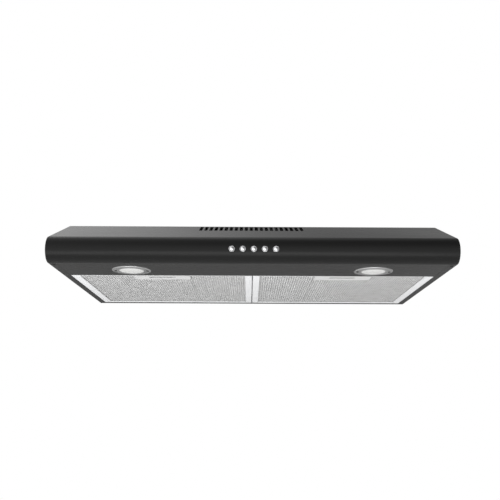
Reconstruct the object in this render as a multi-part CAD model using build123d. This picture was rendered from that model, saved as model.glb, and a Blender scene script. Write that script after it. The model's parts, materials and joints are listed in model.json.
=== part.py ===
from build123d import *
import os
from math import asin, atan2, cos, degrees, sin, sqrt, tan

# Under cabinet range hood. Millimetres, +X to the right, +Y to the wall, +Z up.
# The origin is the centre of the four cabinet screws, on the flat top that meets the cabinet.

# ---------------------------------------------------------------- driving dimensions
WIDTH = 750.0  # over the two side panels
BODY_HEIGHT = 107.0  # underside rim to flat top
RIM_DEPTH = 471.0  # underside, from the fascia's lower edge to the rear panel
SCREWS_TO_FRONT = 300.0  # cabinet screw centre to the fascia's lower edge
NOSE_RADIUS = 24.5  # the round front fascia
FASCIA_HEIGHT = 47.6  # underside to the front edge of the sloping deck
DECK_RUN = 136.0  # fascia's lower edge back to the front edge of the flat top
SHEET = 0.8  # steel sheet of the housing
FASCIA_SHEET = 1.2
BEND = 1.6  # outside bend radius of the folded sheets

LAMP_PANEL_DEPTH = 115.0
LAMP_X = 232.0
LAMP_FROM_FRONT = 64.0
BEZEL_RADIUS = 37.0
LENS_RADIUS = 23.0

SIDE_FLANGE = 13.0
TOP_FLANGE = 13.0  # the laps of the deck and rear panel end inside this
REAR_LIP = 11.0
FILTER_THICKNESS = 9.0
FILTER_RECESS = 0.5
FILTER_WALL = 1.0
FILTER_FLANGE = 0.8
MESH_LAYER = 0.4
LATCH_WINDOW = 17.0  # half-width of the window the latch tongue passes through
TONGUE_HALF = 14.0
SPRING_X = 30.0  # latch springs, off the filter's centre line
LATCH_RUN = 1.4  # clearance in front of the latch plate
LATCH_LENGTH = 26.0
TAB_X = 120.0  # hinge tabs, off the filter's centre line
INNER_BORDER = 13.5  # widths of the filter frame's flanges
OUTER_BORDER = 16.0
FRONT_BORDER = 4.0
REAR_BORDER = 14.0

BUTTON_COUNT = 5
BUTTON_PITCH = 20.0
BUTTON_HEIGHT = 22.0  # above the underside
BUTTON_RADIUS = 4.3
BUTTON_SHIFT = 2.0  # button row's centre right of the middle
BUTTON_TRAVEL = 3.0

VENT_COUNT = 21
VENT_PITCH = 10.0
VENT_LENGTH = 57.0
VENT_WIDTH = 6.2
VENT_SHIFT = -2.5  # vent row's centre left of the middle
VENT_MARGIN = 6.0  # bare deck behind the slots

DUCT_Y = 80.0  # duct centre behind the cabinet screw centre
DUCT_RADIUS = 60.0  # outside of the collar, for a 120 mm duct
DUCT_HEIGHT = 23.0
DUCT_PLATE_HALF = 90.0
DUCT_PLATE_FRONT = 0.0
OUTLET_LEDGE = 1.5  # outlet hole's edge inside the collar's outer radius

FAN_X = -150.0
FAN_Y = 20.0
IMPELLER_RADIUS = 78.0
SHAFT_RADIUS = 4.0
RUNNING_GAP = 0.05  # radial clearance of shafts and pins in their holes

SCREW_SPACING_X = 600.0
SCREW_SPACING_Y = 240.0
SCREW_HOLE_RADIUS = 3.0

# ---------------------------------------------------------------- places worked out from them
HALF = WIDTH / 2
INNER = HALF - SHEET
FRONT = -SCREWS_TO_FRONT
REAR = FRONT + RIM_DEPTH
BOTTOM = -BODY_HEIGHT
NOSE_Z = BOTTOM + NOSE_RADIUS
DECK_Z = BOTTOM + FASCIA_HEIGHT
DECK_FRONT = FRONT - sqrt(NOSE_RADIUS**2 - (DECK_Z - NOSE_Z) ** 2)
DECK_REAR = FRONT + DECK_RUN
DECK_SLOPE = atan2(-DECK_Z, DECK_REAR - DECK_FRONT)  # radians
DECK_START = 1.5  # the deck's sheet starts this far behind the fascia's top edge
CEILING = -SHEET

LAMP_Y = FRONT + LAMP_FROM_FRONT
BAY_FRONT = FRONT + LAMP_PANEL_DEPTH
FILTER_FRONT = BAY_FRONT + 0.6
FILTER_REAR = REAR - REAR_LIP - 2.6
FILTER_Z = BOTTOM + FILTER_RECESS
FILTER_TOP = FILTER_Z + FILTER_THICKNESS
FILTER_INNER = 1.0
FILTER_OUTER = HALF - SIDE_FLANGE - 0.6
FILTER_X = (FILTER_INNER + FILTER_OUTER) / 2
HINGE_Y = REAR - REAR_LIP
HINGE_Z = BOTTOM + SHEET + 1.2

BUTTON_Z = BOTTOM + BUTTON_HEIGHT
NOSE_FRONT = FRONT - NOSE_RADIUS
BUTTONS = ["off", "low", "medium", "high", "light"]

NODES = {}


# ---------------------------------------------------------------- helpers
def block(x, y, z):
    """A box, each axis given as its two limits."""
    size = [abs(limits[1] - limits[0]) for limits in (x, y, z)]
    centre = [sum(limits) / 2 for limits in (x, y, z)]
    return Pos(*centre) * Box(*size)


def rod(x, y, z, radius):
    """A cylinder along Z between the two limits of z."""
    return Pos(x, y, sum(z) / 2) * Cylinder(radius, abs(z[1] - z[0]))


def rod_x(x, y, z, radius):
    """A cylinder along X between the two limits of x."""
    return Pos(sum(x) / 2, y, z) * Rot(0, 90, 0) * Cylinder(radius, abs(x[1] - x[0]))


def rod_y(x, y, z, radius):
    """A cylinder along Y between the two limits of y."""
    return Pos(x, sum(y) / 2, z) * Rot(90, 0, 0) * Cylinder(radius, abs(y[1] - y[0]))


def along_x(section, x):
    """A (y, z) section drawn out along X."""
    return extrude(Plane.YZ.offset(x[0]) * section, amount=x[1] - x[0])


def folded(points, thickness=SHEET, radius=BEND):
    """Section of a folded sheet. The points lie on its outer face, and the sheet is to their right."""
    outer_face = FilletPolyline(*points, radius=radius)
    return make_face(offset(outer_face, amount=thickness, side=Side.RIGHT))


def turned(points):
    """A solid of revolution about Z from (r, z) points."""
    return revolve(Plane.XZ * make_face(Polyline(*points, close=True)), axis=Axis.Z)


def mirrored(shape):
    """The same piece on the other side of the hood."""
    return mirror(shape, about=Plane.YZ)


def slot_block(centre, length, width, z):
    """A slot with round ends, long along X."""
    section = Pos(centre[0], centre[1], z[0]) * SlotOverall(length, width)
    return extrude(section, amount=z[1] - z[0])


def coil_spring(radius, wire, length, turns):
    """A compression spring along Z from the origin."""
    path = Helix(pitch=(length - wire) / turns, height=length - wire, radius=radius)
    section = Plane(origin=path @ 0, z_dir=path % 0) * Circle(wire / 2)
    return Pos(0, 0, wire / 2) * sweep(section, path=path)


def group(solids):
    """Separate identical pieces that share one node."""
    return Compound(children=list(solids))


def save(name, shape):
    NODES[name] = shape


# ---------------------------------------------------------------- housing
def deck_plane(y, z):
    """Work plane on the deck: local Y runs up the slope, local Z points out of the sheet."""
    return Plane(origin=(0, y, z), x_dir=(1, 0, 0), z_dir=(0, DECK_Z, DECK_REAR - DECK_FRONT))


def deck_panel():
    """Sloping deck with its row of vent slots and a flange that laps under the flat top."""
    lap = (DECK_REAR - SHEET / tan(DECK_SLOPE), -SHEET)
    start = (DECK_FRONT + DECK_START * cos(DECK_SLOPE), DECK_Z + DECK_START * sin(DECK_SLOPE))
    panel = along_x(folded([start, lap, (DECK_REAR + 12, -SHEET)], radius=2.5), (-INNER, INNER))
    vent = Rot(0, 0, 90) * SlotOverall(VENT_LENGTH, VENT_WIDTH)
    first = Pos(VENT_SHIFT, -VENT_LENGTH / 2 - VENT_MARGIN, 1)
    row = GridLocations(VENT_PITCH, 1, VENT_COUNT, 1)
    cuts = [deck_plane(DECK_REAR, 0) * first * place * extrude(vent, amount=-4) for place in row]
    return panel - cuts


def top_panel():
    """Flat top that meets the cabinet: a front strip and two wings either side of the duct plate."""
    z = (-SHEET, 0)
    front = block((-INNER, INNER), (DECK_REAR, DUCT_PLATE_FRONT), z)
    wings = [block((side * DUCT_PLATE_HALF, side * INNER), (DUCT_PLATE_FRONT, REAR), z) for side in (-1, 1)]
    screws = [
        rod(x, y, (1, -3), SCREW_HOLE_RADIUS)
        for x in (-SCREW_SPACING_X / 2, SCREW_SPACING_X / 2)
        for y in (-SCREW_SPACING_Y / 2, SCREW_SPACING_Y / 2)
    ]
    cable = rod(CABLE_X, CABLE_Y, (1, -3), GROMMET_GROOVE)
    return group(piece - screws - cable for piece in (front, *wings))


def duct_plate():
    """Centre plate of the flat top, with the duct outlet."""
    plate = block((-DUCT_PLATE_HALF, DUCT_PLATE_HALF), (DUCT_PLATE_FRONT, REAR), (-SHEET, 0))
    return plate - rod(0, DUCT_Y, (1, -3), DUCT_RADIUS - OUTLET_LEDGE) - collar_screw_holes((1, -3))


def rear_panel():
    """Upright back with a flange under the flat top and the lip that the filters hang on."""
    path = [(REAR - 12, -SHEET), (REAR, -SHEET), (REAR, BOTTOM), (HINGE_Y, BOTTOM)]
    return along_x(folded(path), (-INNER, INNER))


def nose_outline():
    """Outside of the hood seen from the side."""
    nose = ThreePointArc((FRONT, BOTTOM), (NOSE_FRONT, NOSE_Z), (DECK_FRONT, DECK_Z))
    rest = Polyline((DECK_FRONT, DECK_Z), (DECK_REAR, 0), (REAR, 0), (REAR, BOTTOM), (FRONT, BOTTOM))
    return make_face([nose, rest])


def right_side_panel():
    """Flat end panel with an inward flange along the rim and one under the flat top."""
    panel = along_x(nose_outline(), (INNER, HALF))
    x = (HALF - SIDE_FLANGE, INNER + 0.1)
    rim = block(x, (FRONT + 0.4, HINGE_Y), (BOTTOM, BOTTOM + SHEET)) - panel_screw_holes()
    under_top = block(x, (DECK_REAR + TOP_FLANGE, REAR - TOP_FLANGE), (-2 * SHEET, -SHEET))
    return panel + rim + under_top


def front_fascia():
    """Half-round fascia with five button holes, a flange under the deck and one over the lamp panel."""
    ring = Circle(NOSE_RADIUS) - Circle(NOSE_RADIUS - FASCIA_SHEET)
    end = (DECK_FRONT + 1.3 * cos(DECK_SLOPE), DECK_Z + 1.3 * sin(DECK_SLOPE))
    before = NOSE_FRONT - 10
    corners = [
        (before, BOTTOM - 5),
        (FRONT, BOTTOM - 5),
        (FRONT, NOSE_Z),
        end,
        (DECK_FRONT, DECK_Z),
        (before, DECK_Z),
    ]
    front_half = make_face(Polyline(*corners, close=True))
    skin = along_x((Pos(FRONT, NOSE_Z) * ring) & front_half, (-INNER, INNER))
    low_flange = block((-INNER, INNER), (FRONT - 1, FRONT + 22), (BOTTOM + SHEET, BOTTOM + 2 * SHEET))
    low_flange -= panel_screw_holes()
    under_deck = block((-INNER, INNER), (0.9, 14), (-SHEET, -2 * SHEET))
    y = (NOSE_FRONT - 2, FRONT - 15)
    holes = [rod_y(x, y, BUTTON_Z, RING_RADIUS) for x in button_places()]
    return skin + low_flange + deck_plane(DECK_FRONT, DECK_Z) * under_deck - holes


def lamp_panel():
    """Underside strip that carries the lamps, folded up at the front of the filter bay."""
    fold = [(FRONT, BOTTOM), (BAY_FRONT, BOTTOM), (BAY_FRONT, BOTTOM + 20)]
    line = offset(FilletPolyline(*fold, radius=1.0), amount=SHEET, side=Side.LEFT)
    edge = HALF - SIDE_FLANGE - 0.4
    panel = along_x(make_face(line), (-edge, edge))
    z = (BOTTOM - 1, BOTTOM + 2)
    holes = [rod(x, LAMP_Y, z, LAMP_BODY_RADIUS + 0.2) for x in (-LAMP_X, LAMP_X)]
    windows = [
        block((x - 22, x + 22), (BAY_FRONT - 2, BAY_FRONT + 1), (TONGUE_Z - 1.5, TONGUE_Z + 3))
        for x in (-FILTER_X, FILTER_X)
    ]
    return panel - holes - windows - lamp_screw_holes()


def filter_support_rail():
    """Folded rail over the joint of the two filters, from the lamp panel to the rear panel."""
    z = FILTER_TOP + 0.6
    web = block((-12, 12), (BAY_FRONT, REAR - SHEET), (z + 10, z + 10 + SHEET))
    legs = [block((x, x + SHEET), (BAY_FRONT, REAR - SHEET), (z, z + 10.1)) for x in (-12, 12 - SHEET)]
    return web + legs[0] + legs[1]


PANEL_SCREWS = [(side * (HALF - 7), FRONT + 15) for side in (-1, 1)]


def panel_screw_holes():
    return [rod(x, y, (BOTTOM - 1, BOTTOM + 2), 1.5) for x, y in PANEL_SCREWS]


def countersunk_screw(x, y, z, head_radius, length):
    """Screw seen from below: a low head under the sheet and a shank through it."""
    head = rod(x, y, (z - 0.9, z), head_radius)
    slot = block((x - head_radius, x + head_radius), (y - 0.35, y + 0.35), (z - 1, z - 0.5))
    return head - slot + rod(x, y, (z - 0.1, z + length), 1.5)


# ---------------------------------------------------------------- lamps
LAMP_BODY_RADIUS = 24.5
LAMP_SCREW_OFFSET = 30.5
BEZEL_DEPTH = 1.8  # at the rolled edge round the lens
BEZEL_FACE = 1.1  # at the flat face that takes the screws


def lamp_screw_places():
    return [(side * LAMP_X + way * LAMP_SCREW_OFFSET, LAMP_Y) for side in (-1, 1) for way in (-1, 1)]


def lamp_screw_holes():
    return [rod(x, y, (BOTTOM - 5, BOTTOM + 2), 1.5) for x, y in lamp_screw_places()]


def underside_screws():
    """Screws seen from below: one through each side flange and two through each bezel."""
    panel = [countersunk_screw(x, y, BOTTOM, 2.8, 6) for x, y in PANEL_SCREWS]
    lamps = [countersunk_screw(x, y, BOTTOM - BEZEL_FACE, 2.4, 7) for x, y in lamp_screw_places()]
    return group(panel + lamps)


def lamp_bezel():
    """Flat round trim ring with a rolled edge, screwed to the lamp panel from below."""
    rim = BEZEL_RADIUS
    points = [
        (LENS_RADIUS, BOTTOM),
        (LENS_RADIUS, BOTTOM - 1.5),
        (LENS_RADIUS + 0.6, BOTTOM - BEZEL_DEPTH),
        (LENS_RADIUS + 2.2, BOTTOM - BEZEL_DEPTH),
        (LENS_RADIUS + 3.4, BOTTOM - BEZEL_FACE),
        (rim - 1.6, BOTTOM - BEZEL_FACE),
        (rim - 0.4, BOTTOM - 0.8),
        (rim, BOTTOM - 0.2),
        (rim, BOTTOM),
    ]
    return Pos(LAMP_X, LAMP_Y, 0) * turned(points) - lamp_screw_holes()


def lamp_lens():
    """Frosted lens, slightly domed, held between the bezel and the lamp body."""
    edge = LENS_RADIUS - 0.05
    points = [
        (0, BOTTOM - 2.4),
        (edge * 0.6, BOTTOM - 2.2),
        (edge, BOTTOM - 1.5),
        (edge, BOTTOM + 0.9),
        (0, BOTTOM + 0.9),
    ]
    return Pos(LAMP_X, LAMP_Y, 0) * turned(points)


def lamp_body():
    """Die-cast cup behind the lens, with cooling fins on its back."""
    r = LAMP_BODY_RADIUS
    cup = [
        (LENS_RADIUS - 1.5, BOTTOM + 0.9),
        (r, BOTTOM + 0.9),
        (r, BOTTOM + 14),
        (0, BOTTOM + 14),
        (0, BOTTOM + 11),
        (LENS_RADIUS - 3, BOTTOM + 11),
    ]
    fins = [block((x, x + 1.2), (-16, 16), (BOTTOM + 13.9, BOTTOM + 21)) for x in range(-15, 16, 6)]
    body = turned(cup)
    for fin in fins:
        body += fin
    return Pos(LAMP_X, LAMP_Y, 0) * body


# ---------------------------------------------------------------- push buttons
RING_RADIUS = 5.4
DOME_HEIGHT = 2.6
CAP_FRONT = NOSE_FRONT - 4.2
CAP_BACK = NOSE_FRONT + 6.0
SWITCH_FRONT = NOSE_FRONT + 14.0
SWITCH_BACK = NOSE_FRONT + 34.0
STEM_RADIUS = 2.0


def button_places():
    middle = (BUTTON_COUNT - 1) / 2
    return [BUTTON_SHIFT + (number - middle) * BUTTON_PITCH for number in range(BUTTON_COUNT)]


def button_cap(x):
    """Domed push button with its plunger, which enters the switch block."""
    r = BUTTON_RADIUS
    dome = (r**2 + DOME_HEIGHT**2) / (2 * DOME_HEIGHT)
    ball = Pos(0, CAP_FRONT + dome, 0) * Sphere(dome)
    behind = rod_y(0, (CAP_FRONT + dome, CAP_BACK), 0, 2 * r)
    cap = rod_y(0, (CAP_FRONT - 1, CAP_BACK), 0, r) & (ball + behind)
    stem = rod_y(0, (CAP_BACK - 0.1, SWITCH_FRONT + 8), 0, STEM_RADIUS)
    return Pos(x, 0, BUTTON_Z) * (cap + stem)


def button_ring(x):
    """Trim ring pressed into the fascia round one button."""
    ring = rod_y(x, (NOSE_FRONT - 1.4, NOSE_FRONT + 4.5), BUTTON_Z, RING_RADIUS)
    bore = rod_y(x, (NOSE_FRONT - 3, NOSE_FRONT + 6), BUTTON_Z, BUTTON_RADIUS + 0.3)
    lead_in = [edge for edge in ring.edges().filter_by(GeomType.CIRCLE).sort_by(Axis.Y)[:1]]
    return chamfer(lead_in, 0.4) - bore


def button_spring(x):
    spring = coil_spring(3.0, 0.5, SWITCH_FRONT - CAP_BACK, 5)
    return Pos(x, CAP_BACK, BUTTON_Z) * Rot(-90, 0, 0) * spring


def switch_block():
    """Moulded body behind the fascia with one bore for each plunger and two feet."""
    reach = BUTTON_PITCH * 2 + 12
    x = (BUTTON_SHIFT - reach, BUTTON_SHIFT + reach)
    body = block(x, (SWITCH_FRONT, SWITCH_BACK), (BUTTON_Z - 10, BUTTON_Z + 10))
    for side in (-1, 1):
        x = BUTTON_SHIFT + side * (reach - 4)
        body += block((x - 4, x + 4), (FRONT - 2, FRONT + 9.5), (BOTTOM + 2 * SHEET, BUTTON_Z - 9.9))
    y = (SWITCH_FRONT - 1, SWITCH_FRONT + 12)
    return body - [rod_y(x, y, BUTTON_Z, STEM_RADIUS + 0.3) for x in button_places()]


# ---------------------------------------------------------------- grease filters
LATCH_HALF = 56.0
LATCH_DEPTH = 39.0
LATCH_PLATE = 0.6
FINGER_SLOT = (53.5, 13.5)
FINGER_SLOT_Y = FILTER_FRONT + 18.2
SLIDER_HALF = 38.0
SLIDER_SHEET = 1.2
GRIP_HALF = 26.0
TONGUE_Z = FILTER_Z + 3.2
TONGUE_TIP = FILTER_FRONT - 0.2


def about_filter(half):
    """Limits along X of something centred on the right-hand filter."""
    return (FILTER_X - half, FILTER_X + half)


def latch_bay():
    """Space taken out of a filter's frame and mesh for its latch housing."""
    x = about_filter(LATCH_HALF)
    y = (FILTER_FRONT + FILTER_WALL, FILTER_FRONT + LATCH_DEPTH)
    return block(x, y, (FILTER_Z - 1, FILTER_TOP - FILTER_FLANGE))


def latch_window():
    """Cut through a filter's front wall for the latch tongue."""
    y = (FILTER_FRONT - 1, FILTER_FRONT + FILTER_WALL + 1.2)
    return block(about_filter(LATCH_WINDOW), y, (TONGUE_Z - 0.6, TONGUE_Z + 1.8))


def filter_frame():
    """Channel frame of a grease filter, with two tabs that rest on the rear lip."""
    x = (FILTER_INNER, FILTER_OUTER)
    y = (FILTER_FRONT, FILTER_REAR)
    frame = block(x, y, (FILTER_Z, FILTER_TOP))
    frame -= block(
        (x[0] + FILTER_WALL, x[1] - FILTER_WALL),
        (y[0] + FILTER_WALL, y[1] - FILTER_WALL),
        (FILTER_Z + FILTER_FLANGE, FILTER_TOP - FILTER_FLANGE),
    )
    window_x = (x[0] + INNER_BORDER, x[1] - OUTER_BORDER)
    window_y = (y[0] + FRONT_BORDER, y[1] - REAR_BORDER)
    frame -= block(window_x, window_y, (FILTER_Z - 1, FILTER_TOP + 1))
    frame -= latch_bay()
    frame -= latch_window()
    for way in (-1, 1):
        tab_x = FILTER_X + way * TAB_X
        frame += block((tab_x - 10, tab_x + 10), (y[1] - 0.5, y[1] + 8), (HINGE_Z - 0.6, HINGE_Z + 0.6))
    return frame


def mesh_layer(z):
    """One sheet of expanded mesh, as its plain envelope."""
    x = (FILTER_INNER + FILTER_WALL + 0.2, FILTER_OUTER - FILTER_WALL - 0.2)
    y = (FILTER_FRONT + FILTER_WALL + 0.2, FILTER_REAR - FILTER_WALL - 0.2)
    return block(x, y, (z, z + MESH_LAYER)) - latch_bay()


def filter_mesh_front():
    return mesh_layer(FILTER_Z + FILTER_FLANGE)


def filter_mesh_inner():
    """Two inner layers and the back layer, one above the other."""
    pitch = (FILTER_THICKNESS - 2 * FILTER_FLANGE - MESH_LAYER) / 3
    return group(mesh_layer(FILTER_Z + FILTER_FLANGE + step * pitch) for step in (1, 2, 3))


def latch_housing():
    """Flat box in the filter's front edge, with the finger slot in its visible face."""
    x = about_filter(LATCH_HALF)
    y = (FILTER_FRONT + FILTER_WALL, FILTER_FRONT + LATCH_DEPTH)
    top = FILTER_TOP - FILTER_FLANGE
    box = block(x, y, (FILTER_Z, top))
    box -= block((x[0] + 1, x[1] - 1), (y[0] + 1, y[1] - 1), (FILTER_Z + 0.1, top - 1))
    face = block(x, (FILTER_FRONT, y[1]), (FILTER_Z - LATCH_PLATE, FILTER_Z))
    box += face
    box -= slot_block((FILTER_X, FINGER_SLOT_Y), *FINGER_SLOT, (FILTER_Z - 2, FILTER_Z + 1))
    return box - latch_window()


def latch_slider():
    """Sliding plate with the tongue at its front and an upturned finger tab behind its opening."""
    floor = FILTER_Z + 0.6
    front = FILTER_FRONT + FILTER_WALL + LATCH_RUN
    back = front + LATCH_LENGTH
    sheet = SLIDER_SHEET
    plate = block(about_filter(SLIDER_HALF), (front, back), (floor, floor + sheet))
    grip = about_filter(GRIP_HALF)
    tab_y = FINGER_SLOT_Y + 2.6
    opening = block(grip, (FINGER_SLOT_Y - 6, tab_y), (floor - 1, floor + 3))
    tab = block(grip, (tab_y, tab_y + sheet), (floor, floor + 4.6))
    middle = about_filter(TONGUE_HALF)
    riser = block(middle, (front, front + sheet), (floor, TONGUE_Z + sheet))
    tongue = block(middle, (TONGUE_TIP, front + sheet), (TONGUE_Z, TONGUE_Z + sheet))
    bosses = [
        block((x - 3, x + 3), (back - 2, back), (floor, floor + 5.4))
        for x in about_filter(SPRING_X)
    ]
    return plate - opening + tab + riser + tongue + bosses[0] + bosses[1]


def latch_springs():
    """Two compression springs between the slider and the back wall of the housing."""
    start = FILTER_FRONT + FILTER_WALL + LATCH_RUN + LATCH_LENGTH
    end = FILTER_FRONT + LATCH_DEPTH - 1
    spring = coil_spring(1.7, 0.4, end - start, 6)
    place = Pos(0, start, FILTER_Z + 3.6) * Rot(-90, 0, 0)
    return group(Pos(x, 0, 0) * place * spring for x in about_filter(SPRING_X))


# ---------------------------------------------------------------- duct collar and damper
DAMPER_Z = 4.0
PIN_RADIUS = 1.5
COLLAR_WALL = 1.7


def collar_screw_places():
    return [(location.position.X, location.position.Y + DUCT_Y) for location in PolarLocations(69, 4, 45)]


def collar_screw_holes(z):
    return [rod(x, y, z, 1.7) for x, y in collar_screw_places()]


def duct_collar():
    """Round spigot with a flange and a stop ledge for the damper flaps."""
    r = DUCT_RADIUS
    points = [
        (r - COLLAR_WALL - 2, 0),
        (78, 0),
        (78, 2),
        (r, 2),
        (r, DUCT_HEIGHT - 1.5),
        (r - 0.8, DUCT_HEIGHT),
        (r - COLLAR_WALL, DUCT_HEIGHT),
        (r - COLLAR_WALL, 2.6),
        (r - COLLAR_WALL - 2, 2.6),
    ]
    collar = Pos(0, DUCT_Y, 0) * turned(points) - collar_screw_holes((-1, 3))
    return collar - rod_x((-r - 1, r + 1), DUCT_Y, DAMPER_Z, PIN_RADIUS)


def damper_pin():
    return rod_x((0.5 - DUCT_RADIUS, DUCT_RADIUS - 0.5), DUCT_Y, DAMPER_Z, PIN_RADIUS)


def damper_flap(way, knuckles):
    """Half-round flap on one side of the pin: way is -1 in front of it and 1 behind it."""
    disc = rod(0, 0, (-0.6, 0.6), DUCT_RADIUS - COLLAR_WALL - 0.8)
    plate = disc & block((-70, 70), (way * 2.9, way * 70), (-1, 1))
    for x in knuckles:
        plate += rod_x((x, x + 12), 0, 0, 2.5)
        plate += block((x, x + 12), (0, way * 4), (-0.6, 0.6))
        plate -= rod_x((x - 1, x + 13), 0, 0, PIN_RADIUS + RUNNING_GAP)
    return Pos(0, DUCT_Y, DAMPER_Z) * plate


def collar_screws():
    def screw(x, y):
        return rod(x, y, (2, 4.2), 3.4) + rod(x, y, (-5, 2.1), 1.7)

    return group(screw(x, y) for x, y in collar_screw_places())


# ---------------------------------------------------------------- blower
SCROLL_HEIGHT = 70.0
SCROLL_WALL = 1.2
SCROLL_TOP = CEILING - SCROLL_WALL
SCROLL_BOTTOM = CEILING - SCROLL_HEIGHT
SCROLL_RADII = (88.0, 100.0, 112.0)
SCROLL_END = 66.0
INLET_RADIUS = 62.0
MOTOR_RADIUS = 40.0
MOTOR_TOP = -6.0
MOTOR_BOTTOM = -40.0
MOUNT_CIRCLE = 30.0
GUARD_HALF = 64.0
GUARD_WIRE = 1.5
GUARD_RINGS = (16, 31, 46, 61)
HUB_RADIUS = 47.6  # outside of the pot that goes round the motor
HUB_FACE = -47.6
DISC_Z = -12.0
HUB_SHEET = 1.2
BAND_BOTTOM = -62.0
BLADE_COUNT = 32
BLADE_DEPTH = 15.0
BLADE_TURN = 22.0


def scroll_outline(inset=0.0):
    """Volute that widens over three quarter turns and runs out under the duct."""
    first, second, third = [radius - inset for radius in SCROLL_RADII]
    x, y = FAN_X, FAN_Y
    step = SCROLL_RADII[1] - SCROLL_RADII[0]
    lift = degrees(asin(inset / first))
    arcs = [
        CenterArc((x, y), first, lift, -90 - lift),
        CenterArc((x, y + step), second, -90, -90),
        CenterArc((x + step, y + step), third, 180, -90),
    ]
    top = arcs[2] @ 1
    end = SCROLL_END - inset
    throat = Polyline(top, (end, top.Y), (end, y + inset), arcs[0] @ 0)
    return make_face([*arcs, throat])


def fan_scroll():
    """Top and side wall of the blower housing, open below."""
    wall_foot = Pos(0, 0, SCROLL_BOTTOM + SCROLL_WALL)
    shell = extrude(wall_foot * scroll_outline(), amount=SCROLL_HEIGHT - SCROLL_WALL)
    inside = Pos(0, 0, SCROLL_BOTTOM) * scroll_outline(SCROLL_WALL)
    cavity = extrude(inside, amount=SCROLL_TOP - SCROLL_BOTTOM)
    duct = rod(0, DUCT_Y, (-4, 0), DUCT_RADIUS - OUTLET_LEDGE)
    mounts = [rod(x, y, (-4, 0), 1.7) for x, y in motor_mount_places()]
    return shell - cavity - duct - mounts - collar_screw_holes((-4, 0))


def fan_inlet_plate():
    """Bottom plate of the blower housing with a rolled inlet."""
    plate = extrude(Pos(0, 0, SCROLL_BOTTOM) * scroll_outline(), amount=SCROLL_WALL)
    plate -= rod(FAN_X, FAN_Y, (SCROLL_BOTTOM - 1, SCROLL_BOTTOM + 3), INLET_RADIUS)
    low = SCROLL_BOTTOM
    lip = turned(
        [
            (INLET_RADIUS - 1.2, low),
            (INLET_RADIUS + 0.1, low),
            (INLET_RADIUS + 0.1, low + 1.2),
            (INLET_RADIUS - 1.6, low + 4.5),
            (INLET_RADIUS - 2.8, low + 4.5),
        ]
    )
    return plate + Pos(FAN_X, FAN_Y, 0) * lip


def inlet_guard():
    """Wire finger guard under the inlet."""
    wire = GUARD_WIRE
    z = SCROLL_BOTTOM - wire
    guard = block((-GUARD_HALF, GUARD_HALF), (-wire, wire), (z - wire, z + wire))
    guard += block((-wire, wire), (-GUARD_HALF, GUARD_HALF), (z - wire, z + wire))
    for radius in GUARD_RINGS:
        ring = rod(0, 0, (z - wire, z + wire), radius + wire)
        guard += ring - rod(0, 0, (z - 5, z + 5), radius - wire)
    return Pos(FAN_X, FAN_Y, 0) * guard


def motor_mount_places():
    spots = [place.position for place in PolarLocations(MOUNT_CIRCLE, 3)]
    return [(FAN_X + spot.X, FAN_Y + spot.Y) for spot in spots]


def motor():
    """Round motor can hanging under the scroll's top, bored for its shaft."""
    can = rod(FAN_X, FAN_Y, (MOTOR_BOTTOM, MOTOR_TOP), MOTOR_RADIUS)
    can = fillet(can.edges().filter_by(GeomType.CIRCLE), 2.5)
    can += rod(FAN_X, FAN_Y, (MOTOR_BOTTOM - 2, MOTOR_BOTTOM + 1), 12)
    return can - rod(FAN_X, FAN_Y, (MOTOR_BOTTOM - 3, MOTOR_TOP - 8), SHAFT_RADIUS + RUNNING_GAP)


def motor_mounts():
    """Three rubber bushes between the motor and the scroll."""
    return group(rod(x, y, (MOTOR_TOP, SCROLL_TOP), 6) for x, y in motor_mount_places())


def impeller():
    """Pot-shaped hub, outer disc and a ring of forward-curved blades."""
    blade_inner = IMPELLER_RADIUS - BLADE_DEPTH
    inside = HUB_RADIUS - HUB_SHEET
    hub = turned(
        [
            (SHAFT_RADIUS, HUB_FACE - 6.4),
            (9, HUB_FACE - 6.4),
            (9, HUB_FACE),
            (HUB_RADIUS, HUB_FACE),
            (HUB_RADIUS, DISC_Z),
            (IMPELLER_RADIUS, DISC_Z),
            (IMPELLER_RADIUS, DISC_Z + HUB_SHEET),
            (inside, DISC_Z + HUB_SHEET),
            (inside, HUB_FACE + HUB_SHEET),
            (SHAFT_RADIUS, HUB_FACE + HUB_SHEET),
        ]
    )
    band = rod(0, 0, (BAND_BOTTOM, BAND_BOTTOM + 4), IMPELLER_RADIUS)
    band -= rod(0, 0, (BAND_BOTTOM - 1, BAND_BOTTOM + 5), IMPELLER_RADIUS - 1.5)
    chord = IMPELLER_RADIUS - blade_inner - 0.8
    height = DISC_Z - BAND_BOTTOM + 0.5
    middle = Pos(blade_inner + chord / 2, 0, BAND_BOTTOM + height / 2)
    blade = middle * Rot(0, 0, BLADE_TURN) * Box(chord, 0.9, height)
    wheel = hub + band + [place * blade for place in PolarLocations(0, BLADE_COUNT)]
    return Pos(FAN_X, FAN_Y, 0) * wheel


def motor_shaft():
    return rod(FAN_X, FAN_Y, (-58.5, MOTOR_TOP - 9), SHAFT_RADIUS)


def impeller_nut():
    nut = extrude(Pos(0, 0, -58) * RegularPolygon(7, 6), amount=4)
    return Pos(FAN_X, FAN_Y, 0) * nut - rod(FAN_X, FAN_Y, (-60, -50), SHAFT_RADIUS)


def fan_screws():
    """Screws that hold the inlet plate to the scroll."""
    places = [
        (FAN_X - 72, FAN_Y - 72),
        (FAN_X + 68, FAN_Y - 66),
        (FAN_X - 70, FAN_Y + 105),
        (SCROLL_END - 8, FAN_Y + 8),
    ]
    return group(rod(x, y, (SCROLL_BOTTOM - 2, SCROLL_BOTTOM), 3) for x, y in places)


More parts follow.
